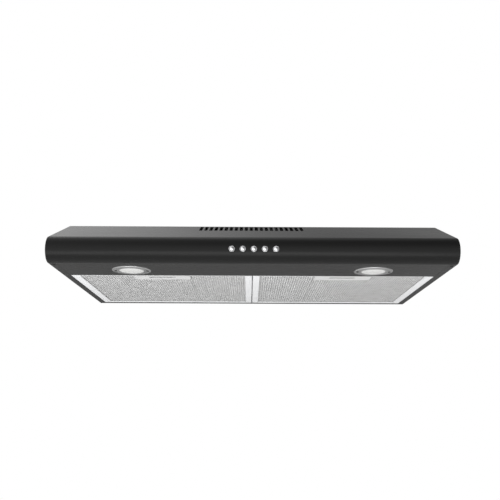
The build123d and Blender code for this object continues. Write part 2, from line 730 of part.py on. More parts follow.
# ---------------------------------------------------------------- electrical parts
CABLE_X = 240.0
CABLE_Y = 60.0
GROMMET_GROOVE = 11.0
GROMMET_BORE = 4.5
BOX_HALF = (45.0, 30.0)
BOX_DEPTH = 33.0
STRIP_SHIFT = -30.0  # terminal strip, off the cable
STRIP_HALF = (9.0, 18.0)
STRIP_BOTTOM = -16.0
CAPACITOR_X = (110.0, 165.0)
CAPACITOR_RADIUS = 14.0
CAPACITOR_Z = -17.0
DRIVER_X = (100.0, 175.0)
DRIVER_Y = (-80.0, -42.0)
DRIVER_BOTTOM = -26.0
DRIVER_EAR = 10.0


def cable_grommet():
    """Rubber grommet for the supply cable, in the flat top above the terminal box."""
    points = [
        (GROMMET_BORE, -3.4),
        (12.5, -3.4),
        (12.5, -2 * SHEET),
        (GROMMET_GROOVE, -2 * SHEET),
        (GROMMET_GROOVE, 0),
        (13, 0),
        (12, 1.8),
        (GROMMET_BORE, 1.8),
    ]
    return Pos(CABLE_X, CABLE_Y, 0) * turned(points)


def terminal_box():
    """Sheet steel box under the flat top, open below."""
    x = (CABLE_X - BOX_HALF[0], CABLE_X + BOX_HALF[0])
    y = (CABLE_Y - BOX_HALF[1], CABLE_Y + BOX_HALF[1])
    box = block(x, y, (-BOX_DEPTH, CEILING))
    box -= block((x[0] + 0.8, x[1] - 0.8), (y[0] + 0.8, y[1] - 0.8), (-BOX_DEPTH - 1, 2 * CEILING))
    return box - rod(CABLE_X, CABLE_Y, (-5, 1), GROMMET_GROOVE)


def terminal_cover():
    x = (CABLE_X - BOX_HALF[0], CABLE_X + BOX_HALF[0])
    y = (CABLE_Y - BOX_HALF[1], CABLE_Y + BOX_HALF[1])
    return block(x, y, (-BOX_DEPTH - 1, -BOX_DEPTH))


def terminal_block():
    """Three-way terminal strip in the box."""
    x = CABLE_X + STRIP_SHIFT
    half_x, half_y = STRIP_HALF
    z = (STRIP_BOTTOM, 2 * CEILING)
    strip = block((x - half_x, x + half_x), (CABLE_Y - half_y, CABLE_Y + half_y), z)
    for y in (-12, 0, 12):
        for side in (-4, 4):
            strip -= rod(x + side, CABLE_Y + y, (STRIP_BOTTOM - 4, STRIP_BOTTOM + 6), 2.2)
    return strip


def capacitor():
    """Motor run capacitor, a can with a flat foot under the top."""
    can = rod_x(CAPACITOR_X, 0, CAPACITOR_Z, CAPACITOR_RADIUS)
    foot = block((CAPACITOR_X[0] + 2, CAPACITOR_X[1] - 2), (-8, 8), (-5, CEILING))
    return can + foot


def lamp_driver():
    """Supply for the two lamps, a vented box with two ears."""
    body = block(DRIVER_X, DRIVER_Y, (DRIVER_BOTTOM, CEILING))
    vent_y = (DRIVER_Y[0] + 4, DRIVER_Y[1] - 4)
    for step in range(8, 70, 8):
        x = DRIVER_X[0] + step
        body -= block((x, x + 3), vent_y, (DRIVER_BOTTOM - 1, DRIVER_BOTTOM + 1))
    ear_x = (DRIVER_X[0] - DRIVER_EAR, DRIVER_X[1] + DRIVER_EAR)
    return body + block(ear_x, (DRIVER_Y[0] + 8, DRIVER_Y[1] - 8), (-2.4, CEILING))


# ---------------------------------------------------------------- build
def both_sides(name, right):
    """The right-hand piece and its mirror image."""
    save(name + "_right", right)
    save(name + "_left", mirrored(right))


def build_housing():
    save("deck_panel", deck_panel())
    save("top_panel", top_panel())
    save("duct_plate", duct_plate())
    save("rear_panel", rear_panel())
    both_sides("side_panel", right_side_panel())
    save("front_fascia", front_fascia())
    save("lamp_panel", lamp_panel())
    save("filter_support_rail", filter_support_rail())
    save("underside_screws", underside_screws())


def build_lamps():
    both_sides("lamp_bezel", lamp_bezel())
    both_sides("lamp_lens", lamp_lens())
    both_sides("lamp_body", lamp_body())


def build_buttons():
    save("switch_block", switch_block())
    save("button_rings", group(button_ring(x) for x in button_places()))
    for name, x in zip(BUTTONS, button_places()):
        save("button_" + name, button_cap(x))
        save("button_spring_" + name, button_spring(x))


def build_filters():
    both_sides("filter_frame", filter_frame())
    both_sides("filter_mesh_front", filter_mesh_front())
    both_sides("filter_mesh_inner", filter_mesh_inner())
    both_sides("latch_housing", latch_housing())
    both_sides("latch_slider", latch_slider())
    both_sides("latch_springs", latch_springs())


def build_duct():
    save("duct_collar", duct_collar())
    save("damper_pin", damper_pin())
    save("damper_flap_front", damper_flap(-1, (-50, 14)))
    save("damper_flap_rear", damper_flap(1, (-26, 38)))
    save("collar_screws", collar_screws())


def build_blower():
    save("fan_scroll", fan_scroll())
    save("fan_inlet_plate", fan_inlet_plate())
    save("inlet_guard", inlet_guard())
    save("fan_screws", fan_screws())
    save("motor", motor())
    save("motor_mounts", motor_mounts())
    save("motor_shaft", motor_shaft())
    save("impeller", impeller())
    save("impeller_nut", impeller_nut())


def build_electrics():
    save("cable_grommet", cable_grommet())
    save("terminal_box", terminal_box())
    save("terminal_cover", terminal_cover())
    save("terminal_block", terminal_block())
    save("capacitor", capacitor())
    save("lamp_driver", lamp_driver())


build_housing()
build_lamps()
build_buttons()
build_filters()
build_duct()
build_blower()
build_electrics()

os.makedirs("parts", exist_ok=True)
for name, shape in NODES.items():
    export_step(shape, f"parts/{name}.step")
print(len(NODES), "nodes")
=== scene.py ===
# %% [markdown]
# # A slim under cabinet range hood
#
# The hood hangs under a wall cabinet and is seen from below, so its dark steel skin, its two bright
# grease filters, its lamps and its chrome buttons are what people look at. The CAD frame already has every
# part at its real size. This file gives each part its finish, and remakes the few parts whose surface
# needs finer modelling than CAD gives: the expanded mesh, the buttons and the lamps.

import json
import math

import bmesh
import bpy
from mathutils import Matrix, Vector


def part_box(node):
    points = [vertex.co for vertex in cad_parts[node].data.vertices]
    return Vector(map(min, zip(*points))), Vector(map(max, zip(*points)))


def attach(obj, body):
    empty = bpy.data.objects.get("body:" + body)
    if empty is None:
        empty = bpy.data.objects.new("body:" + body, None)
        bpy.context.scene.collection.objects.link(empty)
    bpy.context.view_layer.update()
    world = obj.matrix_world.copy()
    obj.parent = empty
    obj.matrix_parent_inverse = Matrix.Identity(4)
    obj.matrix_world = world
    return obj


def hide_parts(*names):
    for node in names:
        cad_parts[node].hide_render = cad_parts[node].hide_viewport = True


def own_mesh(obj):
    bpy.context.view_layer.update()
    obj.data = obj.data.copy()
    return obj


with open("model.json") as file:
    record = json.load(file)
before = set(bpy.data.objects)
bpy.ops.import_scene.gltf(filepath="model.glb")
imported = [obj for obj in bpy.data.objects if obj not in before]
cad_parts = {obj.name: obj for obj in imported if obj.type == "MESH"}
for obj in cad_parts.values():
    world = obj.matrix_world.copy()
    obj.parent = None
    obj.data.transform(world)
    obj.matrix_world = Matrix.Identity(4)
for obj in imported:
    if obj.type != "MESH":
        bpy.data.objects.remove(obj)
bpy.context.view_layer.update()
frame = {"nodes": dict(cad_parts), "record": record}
MM = 0.001
SIDES = ("left", "right")
print("nodes in the frame:", len(frame["nodes"]))

# %% [markdown]
# ## Where things are
#
# Every new piece is placed from the boxes of the CAD nodes, so nothing has to be fitted by eye.

# %% Places taken from the frame
rim_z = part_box("side_panel_right")[0].z
nose_front_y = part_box("front_fascia")[0].y
NOSE_RADIUS = 24.5 * MM
fascia_foot_y = nose_front_y + NOSE_RADIUS
print("rim height", round(rim_z, 4), "fascia foot", round(fascia_foot_y, 4))

# %% [markdown]
# ## Camera
#
# The hood is looked at from the front and from a little below, as a cook sees it. A 50 mm lens at
# about 1.25 m keeps the front wide and the rear narrow.

# %% Camera
CAMERA_BACK = 1242.3 * MM
CAMERA_DROP = 269.2 * MM
CAMERA_SIDE = -5.0 * MM
CAMERA_PITCH = 13.357
CAMERA_ROLL = 0.26

camera_data = bpy.data.cameras.new("camera")
camera_data.lens = 50
camera_data.sensor_width = 36
camera_data.clip_start = 0.01
camera = bpy.data.objects.new("camera", camera_data)
bpy.context.scene.collection.objects.link(camera)
tilt = Matrix.Rotation(math.radians(90 + CAMERA_PITCH), 4, "X")
roll = Matrix.Rotation(math.radians(CAMERA_ROLL), 4, "Z")
place = Vector((CAMERA_SIDE, fascia_foot_y - CAMERA_BACK, rim_z - CAMERA_DROP))
camera.matrix_world = Matrix.Translation(place) @ tilt @ roll
bpy.context.scene.camera = camera
bpy.context.scene.view_settings.view_transform = "Standard"
print("camera at", [round(value, 3) for value in place])

# %% [markdown]
# ## Studio
#
# The hood is photographed like a product: a white background, a dim surround, and large softboxes. The
# pale floor lies well below the hood, because the hood hangs. Two softboxes just above the floor stand
# for the light that a bright floor sends up. The one in front is the stronger: the round fascia shows it
# as its highlight, and the filters get most of their light from it.

# %% Floor
FLOOR_DROP = 0.85
FLOOR_HALF = 1.5

floor_mesh = bpy.data.meshes.new("studio_floor")
floor_bm = bmesh.new()
bmesh.ops.create_grid(floor_bm, x_segments=2, y_segments=2, size=FLOOR_HALF)
bmesh.ops.translate(floor_bm, verts=floor_bm.verts, vec=(0, 0, rim_z - FLOOR_DROP))
floor_bm.to_mesh(floor_mesh)
floor_bm.free()
floor = bpy.data.objects.new("studio_floor", floor_mesh)
bpy.context.scene.collection.objects.link(floor)
floor_paint = bpy.data.materials.new("studio_floor")
floor_paint.use_nodes = True
floor_shader = floor_paint.node_tree.nodes["Principled BSDF"]
floor_shader.inputs["Base Color"].default_value = (0.86, 0.86, 0.85, 1)
floor_shader.inputs["Roughness"].default_value = 0.7
floor.data.materials.append(floor_paint)

# %% [markdown]
# The surround is seen only in reflections. It is dim, with a broad glow in front and below, one at the
# back left that pales the left end of the deck, and a weak one at the back right. The camera itself
# sees plain white.

# %% Surround
DIM = 0.2

world = bpy.data.worlds.new("studio")
world.use_nodes = True
bpy.context.scene.world = world
world_nodes, world_links = world.node_tree.nodes, world.node_tree.links
surround = world_nodes["Background"]
surround.inputs["Color"].default_value = (1, 1, 1, 1)
toward = world_nodes.new("ShaderNodeTexCoord")


def glow(direction, start, end, radiance):
    """Brightness that rises smoothly as the eye turns to a direction. start and end are cosines."""
    facing = world_nodes.new("ShaderNodeVectorMath")
    facing.operation = "DOT_PRODUCT"
    facing.inputs[1].default_value = Vector(direction).normalized()
    rise = world_nodes.new("ShaderNodeMapRange")
    rise.interpolation_type = "SMOOTHSTEP"
    rise.inputs["From Min"].default_value = start
    rise.inputs["From Max"].default_value = end
    rise.inputs["To Max"].default_value = radiance
    world_links.new(toward.outputs["Generated"], facing.inputs[0])
    world_links.new(facing.outputs["Value"], rise.inputs["Value"])
    return rise.outputs["Result"]


def sum_of(levels, base):
    """Adds the levels to a base brightness."""
    total = world_nodes.new("ShaderNodeValue").outputs["Value"]
    total.default_value = base
    for level in levels:
        add = world_nodes.new("ShaderNodeMath")
        world_links.new(level, add.inputs[0])
        world_links.new(total, add.inputs[1])
        total = add.outputs["Value"]
    return total


front_low = glow((-0.25, -0.8, -0.5), -0.1, 1.0, 1.5)
back_left = glow((-0.85, 0.15, 0.5), 0.25, 0.8, 1.05)
back_right = glow((0.9, 0.5, 0.25), 0.5, 1.0, 0.4)
world_links.new(sum_of((front_low, back_left, back_right), DIM), surround.inputs["Strength"])
backdrop = world_nodes.new("ShaderNodeBackground")
backdrop.inputs["Color"].default_value = (1, 1, 1, 1)
backdrop.inputs["Strength"].default_value = 1.0
seen = world_nodes.new("ShaderNodeLightPath")
choose = world_nodes.new("ShaderNodeMixShader")
world_links.new(seen.outputs["Is Camera Ray"], choose.inputs["Fac"])
world_links.new(surround.outputs["Background"], choose.inputs[1])
world_links.new(backdrop.outputs["Background"], choose.inputs[2])
world_links.new(choose.outputs["Shader"], world_nodes["World Output"].inputs["Surface"])


# %% Softboxes
def softbox(name, place, target, size, radiance):
    """A rectangular light at place that faces target. radiance is how bright its face looks."""
    data = bpy.data.lights.new(name, "AREA")
    data.shape = "RECTANGLE"
    data.size, data.size_y = size
    data.energy = radiance * math.pi * size[0] * size[1]
    light = bpy.data.objects.new(name, data)
    bpy.context.scene.collection.objects.link(light)
    aim = (Vector(target) - Vector(place)).to_track_quat("-Z", "Y")
    light.matrix_world = Matrix.Translation(place) @ aim.to_matrix().to_4x4()
    light.visible_camera = False
    print(name, "power", round(data.energy, 1), "W")
    return light


ABOVE_FLOOR = 0.03
glow_z = rim_z - FLOOR_DROP + ABOVE_FLOOR
softbox("floor_front", (-0.3, -1.45, glow_z), (-0.3, -1.45, 0), (2.2, 0.9), 4.2)
softbox("floor_under", (0, -0.4, glow_z), (0, -0.4, 0), (2.4, 1.2), 0.5)
softbox("overhead", (0.3, 0.5, 2.2), (0, 0, 0), (1.4, 1.0), 0.3)


# %% [markdown]
# ## Finishes
#
# Each finish is a Principled shader with its fixed numbers on the shader itself. Noise on Object
# coordinates, stretched to the grain of the material, varies its gloss and raises a faint bump.

# %% Finish helpers
def finish(name, colour, metallic, roughness):
    """A new material and its shader, with the fixed values set on the shader's own sockets."""
    material = bpy.data.materials.new(name)
    material.use_nodes = True
    shader = material.node_tree.nodes["Principled BSDF"]
    shader.inputs["Base Color"].default_value = (*colour, 1)
    shader.inputs["Metallic"].default_value = metallic
    shader.inputs["Roughness"].default_value = roughness
    return material, shader


def grain(material, scale, detail=3.0, kind="ShaderNodeTexNoise"):
    """A pattern on Object coordinates. scale is cycles per metre along X, Y and Z."""
    nodes, links = material.node_tree.nodes, material.node_tree.links
    place = nodes.new("ShaderNodeTexCoord")
    stretch = nodes.new("ShaderNodeMapping")
    stretch.inputs["Scale"].default_value = scale
    noise = nodes.new(kind)
    noise.inputs["Scale"].default_value = 1.0
    if "Detail" in noise.inputs:
        noise.inputs["Detail"].default_value = detail
    links.new(place.outputs["Object"], stretch.inputs["Vector"])
    links.new(stretch.outputs["Vector"], noise.inputs["Vector"])
    return noise


NOISE_LOW = 0.3
NOISE_HIGH = 0.7


def vary(material, shader, noise, socket, low, high):
    """Runs a socket between low and high with the noise."""
    nodes, links = material.node_tree.nodes, material.node_tree.links
    span = nodes.new("ShaderNodeMapRange")
    span.inputs["From Min"].default_value = NOISE_LOW
    span.inputs["From Max"].default_value = NOISE_HIGH
    span.inputs["To Min"].default_value = low
    span.inputs["To Max"].default_value = high
    links.new(noise.outputs[0], span.inputs["Value"])
    links.new(span.outputs["Result"], shader.inputs[socket])


def tint(material, shader, noise, low, high, start=NOISE_LOW, end=NOISE_HIGH):
    """Runs the base colour from low to high with the noise."""
    nodes, links = material.node_tree.nodes, material.node_tree.links
    ramp = nodes.new("ShaderNodeValToRGB")
    ramp.color_ramp.elements[0].position = start
    ramp.color_ramp.elements[0].color = (*low, 1)
    ramp.color_ramp.elements[1].position = end
    ramp.color_ramp.elements[1].color = (*high, 1)
    links.new(noise.outputs[0], ramp.inputs["Fac"])
    links.new(ramp.outputs["Color"], shader.inputs["Base Color"])


def raise_grain(material, shader, noise, height, strength=1.0):
    """Bump of the given height, in metres, from the noise."""
    nodes, links = material.node_tree.nodes, material.node_tree.links
    bump = nodes.new("ShaderNodeBump")
    bump.inputs["Strength"].default_value = strength
    bump.inputs["Distance"].default_value = height
    links.new(noise.outputs[0], bump.inputs["Height"])
    links.new(bump.outputs["Normal"], shader.inputs["Normal"])


def dress(material, *names):
    """Puts a finish on CAD nodes."""
    for name in names:
        slots = frame["nodes"][name].data.materials
        slots.clear()
        slots.append(material)


def both(stem):
    """The names of a left and right pair of nodes."""
    return [f"{stem}_{side}" for side in SIDES]


# %% [markdown]
# ### Dark steel skin
#
# The skin is sheet steel with a dark satin coat over metal that was brushed along its length. Almost all
# that is seen of it is reflection: it is dark when looked at squarely, and bright where the eye skims it,
# which is why the sloping deck is paler than the round front. The front's coat is the less glossy one.

# %% Steel skin
BRUSHED = (12, 1100, 1100)
FINE_RELIEF = 0.01 * MM

steel_skin, shader = finish("steel_skin", (0.013, 0.0127, 0.0124), 0.0, 0.3)
shader.inputs["IOR"].default_value = 1.4
brushing = grain(steel_skin, BRUSHED)
vary(steel_skin, shader, brushing, "Roughness", 0.24, 0.36)
raise_grain(steel_skin, shader, brushing, FINE_RELIEF, 0.35)
skin_nodes = ["deck_panel", "top_panel", "duct_plate", "rear_panel", "lamp_panel"]
dress(steel_skin, *skin_nodes, *both("side_panel"))

fascia_coat, shader = finish("fascia_coat", (0.006, 0.006, 0.0059), 0.0, 0.35)
shader.inputs["IOR"].default_value = 1.22
brushing = grain(fascia_coat, BRUSHED)
vary(fascia_coat, shader, brushing, "Roughness", 0.3, 0.42)
raise_grain(fascia_coat, shader, brushing, FINE_RELIEF, 0.35)
dress(fascia_coat, "front_fascia")

# %% [markdown]
# ### Zinc, screws and springs
#
# Inner brackets are galvanised sheet. Zinc freezes in flat crystals, so its colour and gloss change from
# one patch to the next, and a Voronoi pattern gives those patches. Screws and the shaft are plain bright
# steel, with turning marks too fine to see as anything but a slight change of gloss.

# %% Zinc and plain steel
galvanised, shader = finish("galvanised_steel", (0.5, 0.51, 0.52), 1.0, 0.38)
spangle = grain(galvanised, (120, 120, 120), kind="ShaderNodeTexVoronoi")
tint(galvanised, shader, spangle, (0.42, 0.43, 0.45), (0.62, 0.63, 0.64), 0.1, 0.8)
vary(galvanised, shader, spangle, "Roughness", 0.28, 0.5)

screw_steel, shader = finish("screw_steel", (0.32, 0.32, 0.31), 1.0, 0.32)
turning = grain(screw_steel, (900, 900, 900))
vary(screw_steel, shader, turning, "Roughness", 0.25, 0.42)
raise_grain(screw_steel, shader, turning, 0.02 * MM, 0.3)

spring_steel, shader = finish("spring_steel", (0.45, 0.44, 0.42), 1.0, 0.3)
drawing = grain(spring_steel, (500, 500, 500))
vary(spring_steel, shader, drawing, "Roughness", 0.22, 0.4)

dark_screw, shader = finish("dark_screw", (0.05, 0.05, 0.05), 0.9, 0.4)
turning = grain(dark_screw, (900, 900, 900))
vary(dark_screw, shader, turning, "Roughness", 0.3, 0.5)

dress(galvanised, "filter_support_rail", "terminal_box", "terminal_cover", "fan_scroll", "fan_inlet_plate")
dress(screw_steel, "collar_screws", "fan_screws", "damper_pin", "motor_shaft", "impeller_nut")
dress(dark_screw, "underside_screws")
dress(spring_steel, *[name for name in frame["nodes"] if name.startswith("button_spring_")])
dress(spring_steel, *both("latch_springs"))

# %% [markdown]
# ### Plastics and rubber
#
# The duct collar, the blower wheel and the switch block are moulded, so they are even in colour with the
# faint orange-peel of a mould. The grommet and the motor's bushes are rubber, duller and softer.

# %% Plastics and rubber
black_plastic, shader = finish("black_plastic", (0.022, 0.022, 0.024), 0.0, 0.42)
mould = grain(black_plastic, (350, 350, 350))
vary(black_plastic, shader, mould, "Roughness", 0.36, 0.5)
raise_grain(black_plastic, shader, mould, 0.06 * MM, 0.4)

white_plastic, shader = finish("white_plastic", (0.78, 0.77, 0.74), 0.0, 0.4)
mould = grain(white_plastic, (300, 300, 300))
tint(white_plastic, shader, mould, (0.75, 0.74, 0.7), (0.82, 0.81, 0.78))
raise_grain(white_plastic, shader, mould, 0.05 * MM, 0.3)

rubber, shader = finish("rubber", (0.018, 0.018, 0.018), 0.0, 0.75)
bloom = grain(rubber, (220, 220, 220))
tint(rubber, shader, bloom, (0.012, 0.012, 0.012), (0.03, 0.029, 0.028))
raise_grain(rubber, shader, bloom, 0.08 * MM, 0.5)

# %% [markdown]
# ### Aluminium, chrome and the rest
#
# The filters are matte aluminium, which scatters more than it mirrors, so they look nearly white. The
# buttons are chrome on plastic, the only true mirrors here. The motor's can is painted, the guard is
# plated wire, and the heat sinks are rough die castings.

# %% Aluminium and chrome
filter_aluminium, shader = finish("filter_aluminium", (0.9, 0.905, 0.92), 0.25, 0.42)
rolling = grain(filter_aluminium, (8, 420, 420))
vary(filter_aluminium, shader, rolling, "Roughness", 0.36, 0.5)
raise_grain(filter_aluminium, shader, rolling, FINE_RELIEF, 0.3)

mesh_aluminium, shader = finish("mesh_aluminium", (0.54, 0.54, 0.54), 0.6, 0.4)
strands = grain(mesh_aluminium, (60, 60, 60))
tint(mesh_aluminium, shader, strands, (0.5, 0.5, 0.5), (0.58, 0.58, 0.58))
vary(mesh_aluminium, shader, strands, "Roughness", 0.3, 0.48)

latch_steel, shader = finish("latch_steel", (0.8, 0.8, 0.8), 0.35, 0.36)
rolling = grain(latch_steel, (14, 520, 520))
vary(latch_steel, shader, rolling, "Roughness", 0.3, 0.45)
raise_grain(latch_steel, shader, rolling, FINE_RELIEF, 0.3)

latch_plastic, shader = finish("latch_slide", (0.42, 0.42, 0.42), 0.3, 0.4)
mould = grain(latch_plastic, (260, 260, 260))
vary(latch_plastic, shader, mould, "Roughness", 0.34, 0.5)
raise_grain(latch_plastic, shader, mould, 0.03 * MM, 0.3)

button_chrome, shader = finish("button_chrome", (0.62, 0.62, 0.63), 1.0, 0.1)
polish = grain(button_chrome, (400, 400, 400))
vary(button_chrome, shader, polish, "Roughness", 0.07, 0.16)

bezel_metal, shader = finish("bezel_metal", (0.48, 0.48, 0.48), 0.9, 0.34)
turning = grain(bezel_metal, (700, 700, 700))
vary(bezel_metal, shader, turning, "Roughness", 0.28, 0.42)
raise_grain(bezel_metal, shader, turning, FINE_RELIEF, 0.3)

frosted_lens, shader = finish("frosted_lens", (0.58, 0.58, 0.57), 0.0, 0.3)
shader.inputs["Emission Color"].default_value = (1, 1, 0.99, 1)
shader.inputs["Emission Strength"].default_value = 0.06
frost = grain(frosted_lens, (900, 900, 900))
vary(frosted_lens, shader, frost, "Roughness", 0.22, 0.4)
raise_grain(frosted_lens, shader, frost, 0.03 * MM, 0.4)

heat_sink, shader = finish("heat_sink", (0.4, 0.4, 0.4), 0.9, 0.55)
casting = grain(heat_sink, (450, 450, 450))
vary(heat_sink, shader, casting, "Roughness", 0.45, 0.65)
raise_grain(heat_sink, shader, casting, 0.08 * MM, 0.5)

guard_wire, shader = finish("guard_wire", (0.5, 0.5, 0.5), 1.0, 0.25)
plating = grain(guard_wire, (200, 200, 200))
vary(guard_wire, shader, plating, "Roughness", 0.18, 0.34)

motor_can, shader = finish("motor_can", (0.08, 0.08, 0.085), 0.0, 0.45)
spray = grain(motor_can, (500, 500, 500))
vary(motor_can, shader, spray, "Roughness", 0.38, 0.55)
raise_grain(motor_can, shader, spray, 0.04 * MM, 0.4)

# %% Finishes on the CAD parts that stay
dress(filter_aluminium, *both("filter_frame"))
dress(latch_steel, *both("latch_housing"))
dress(latch_plastic, *both("latch_slider"))
dress(heat_sink, *both("lamp_body"))
dress(guard_wire, "inlet_guard")
dress(motor_can, "motor")
dress(rubber, "cable_grommet", "motor_mounts")
dress(white_plastic, "terminal_block", "capacitor", "lamp_driver")
dress(black_plastic, "switch_block", "impeller", "duct_collar", "damper_flap_front", "damper_flap_rear")


# %% [markdown]
# ## Round parts
#
# A CAD part comes as flat triangles, which show as bands on a curved sheet. A copy of its mesh, with the
# doubled corners merged, can be shaded smoothly and keep its real edges sharp. The copy stands for the
# part and has exactly its shape.

# %% Smooth copies
SHARP = math.radians(32)
MERGE = 0.005 * MM
bodies = frame["record"]["behaviour"]["bodies"]
body_of_node = {node: body for body, nodes in bodies.items() for node in nodes}


def add_piece(name, shape, material, body, replaced):
    """Makes the object of a finished shape. It rides on a body and stands for the CAD nodes."""
    mesh = bpy.data.meshes.new(name)
    shape.to_mesh(mesh)
    shape.free()
    mesh.materials.append(material)
    piece = bpy.data.objects.new(name, mesh)
    bpy.context.scene.collection.objects.link(piece)
    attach(piece, body)
    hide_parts(*replaced)
    return piece


def smooth_faces(shape, sharp=SHARP):
    """Smooth shading, with a hard line wherever two faces meet at more than the sharp angle."""
    for face in shape.faces:
        face.smooth = True
    for edge in shape.edges:
        edge.smooth = len(edge.link_faces) == 2 and edge.calc_face_angle() < sharp


def smooth_copy(node):
    """A merged copy of a CAD node's mesh with smooth shading."""
    cad = frame["nodes"][node]
    shape = bmesh.new()
    shape.from_mesh(cad.data)
    bmesh.ops.remove_doubles(shape, verts=shape.verts, dist=MERGE)
    smooth_faces(shape)
    material = cad.data.materials[0]
    return add_piece(node + "_smooth", shape, material, body_of_node[node], [node])


ROUND_PARTS = ["front_fascia", "deck_panel", "rear_panel", "lamp_panel", "duct_collar", "cable_grommet"]
ROUND_PARTS += ["damper_flap_front", "damper_flap_rear", "damper_pin", "fan_scroll", "fan_inlet_plate"]
ROUND_PARTS += ["inlet_guard", "motor", "motor_shaft", "impeller", "capacitor", *both("lamp_body")]
for node in ROUND_PARTS:
    smooth_copy(node)
print("smooth copies:", len(ROUND_PARTS))

# %% [markdown]
# ### Return springs
#
# The buttons and the filter latches press on small coil springs. A rigid spring would stand through the
# part that presses on it; here each spring that a joint presses only gets a smooth copy with a mesh of its
# own.

# %% Springs
springs = 0
for joint in frame["record"]["behaviour"]["joints"]:
    for pressed in joint.get("deforming_nodes", []):
        low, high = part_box(pressed["node"])
        coil = smooth_copy(pressed["node"])
        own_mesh(coil)
        springs += 1
print("springs that shorten:", springs)


# %% [markdown]
# ## Spun parts
#
# The buttons, their trim rings, the lamp bezels and the lenses are all turned or moulded round, so each is
# an outline spun about its axis. The outline gives the radius and the height above the part's seat.

# %% Spinning an outline
def spun(outline, steps=64, closed=False):
    """Spins (radius, height) points, in millimetres, about Z. A closed outline makes a ring."""
    shape = bmesh.new()
    points = [shape.verts.new((radius * MM, 0, height * MM)) for radius, height in outline]
    edges = [shape.edges.new(pair) for pair in zip(points, points[1:])]
    if closed:
        edges.append(shape.edges.new((points[-1], points[0])))
    bmesh.ops.spin(
        shape,
        geom=points + edges,
        cent=(0, 0, 0),
        axis=(0, 0, 1),
        angle=math.tau,
        steps=steps,
        use_merge=True,
    )
    bmesh.ops.remove_doubles(shape, verts=shape.verts, dist=0.001 * MM)
    bmesh.ops.recalc_face_normals(shape, faces=shape.faces)
    return shape


def arc(centre, radius, start, end, steps=8):
    """Points on an arc of an outline. The angles are in degrees from the radius direction."""
    turn = [math.radians(start + (end - start) * step / steps) for step in range(steps + 1)]
    return [(centre[0] + radius * math.cos(a), centre[1] + radius * math.sin(a)) for a in turn]


def place_at(shape, centre, axis):
    """Turns a spun shape's Z to the axis, then puts its seat at the centre."""
    turn = Vector((0, 0, 1)).rotation_difference(Vector(axis)).to_matrix().to_4x4()
    bmesh.ops.transform(shape, matrix=Matrix.Translation(centre) @ turn, verts=shape.verts)


def join(shapes):
    """Puts several shapes into one."""
    whole = bmesh.new()
    for shape in shapes:
        mesh = bpy.data.meshes.new("part_of_a_piece")
        shape.to_mesh(mesh)
        shape.free()
        whole.from_mesh(mesh)
        bpy.data.meshes.remove(mesh)
    return whole


# %% [markdown]
# ### Push buttons
#
# Five chromed buttons stand out of the round front, each in a chromed ring. The dome of a button mirrors
# the whole studio in a few millimetres, so it needs true curvature and not a few facets.

# %% Buttons
BUTTON_NAMES = ("off", "low", "medium", "high", "light")
DOME_RISE = 2.6
STEM_RADIUS = 2.0
CAP_LENGTH = 10.2
DOME_STOP = 6  # degrees of the dome given up to the shoulder
SHOULDER = 0.5
CHROME_DEPTH = 0.9


def button(node):
    """A chromed dome on a black cap with its plunger, facing the front. Heights run back from the tip."""
    low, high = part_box(node)
    radius = (high.x - low.x) / 2 / MM
    length = (high.y - low.y) / MM
    dome = (radius**2 + DOME_RISE**2) / (2 * DOME_RISE)
    swing = math.degrees(math.asin(radius / dome))
    edge = arc((0, -dome), dome, 90, 90 - swing + DOME_STOP, 12)
    shoulder = arc((radius - SHOULDER, -DOME_RISE - 0.4), SHOULDER, 40, 0, 4)
    back = [(radius, -CAP_LENGTH), (STEM_RADIUS, -CAP_LENGTH), (STEM_RADIUS, -length), (0, -length)]
    shape = spun(edge + shoulder + back, 48)
    place_at(shape, ((low.x + high.x) / 2, low.y, (low.z + high.z) / 2), (0, -1, 0))
    smooth_faces(shape)
    skirt_y = low.y + (DOME_RISE + CHROME_DEPTH) * MM
    for face in shape.faces:
        face.material_index = int(face.calc_center_median().y > skirt_y)
    piece = add_piece(node + "_cap", shape, button_chrome, body_of_node[node], [node])
    piece.data.materials.append(black_plastic)
    return piece


for name in BUTTON_NAMES:
    button("button_" + name)
print("buttons", len(BUTTON_NAMES))

# %% Button rings
ring_low, ring_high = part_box("button_rings")
RING_OUTER = (ring_high.z - ring_low.z) / 2 / MM
RING_BORE = 4.6
RING_LENGTH = (ring_high.y - ring_low.y) / MM
lip = (RING_OUTER - RING_BORE) / 2


def button_ring(x):
    """A ring with a half-round lip round one button."""
    front = arc((RING_BORE + lip, -lip), lip, 180, 0, 8)
    shape = spun(front + [(RING_OUTER, -RING_LENGTH), (RING_BORE, -RING_LENGTH)], 48, closed=True)
    place_at(shape, (x, ring_low.y, (ring_low.z + ring_high.z) / 2), (0, -1, 0))
    return shape


button_boxes = [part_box("button_" + name) for name in BUTTON_NAMES]
rings = join(button_ring((low.x + high.x) / 2) for low, high in button_boxes)
smooth_faces(rings)
add_piece("button_rings_turned", rings, button_chrome, "housing", ["button_rings"])
print("ring radius", round(RING_OUTER, 2), "mm")

# %% [markdown]
# ### Lamps
#
# Each lamp shows a flat metal bezel with a rolled edge, and a frosted lens that bulges a little below it.

# %% Lamps
LENS_EDGE = 23.0
LIP_RADIUS = 1.1
ROLL_RADIUS = 0.8
FACE_SHARE = 0.6  # of the bezel's depth, for its flat face
BULGE_SHARE = 0.36  # of the lens's depth, for its dome
ROUND_STEPS = 96


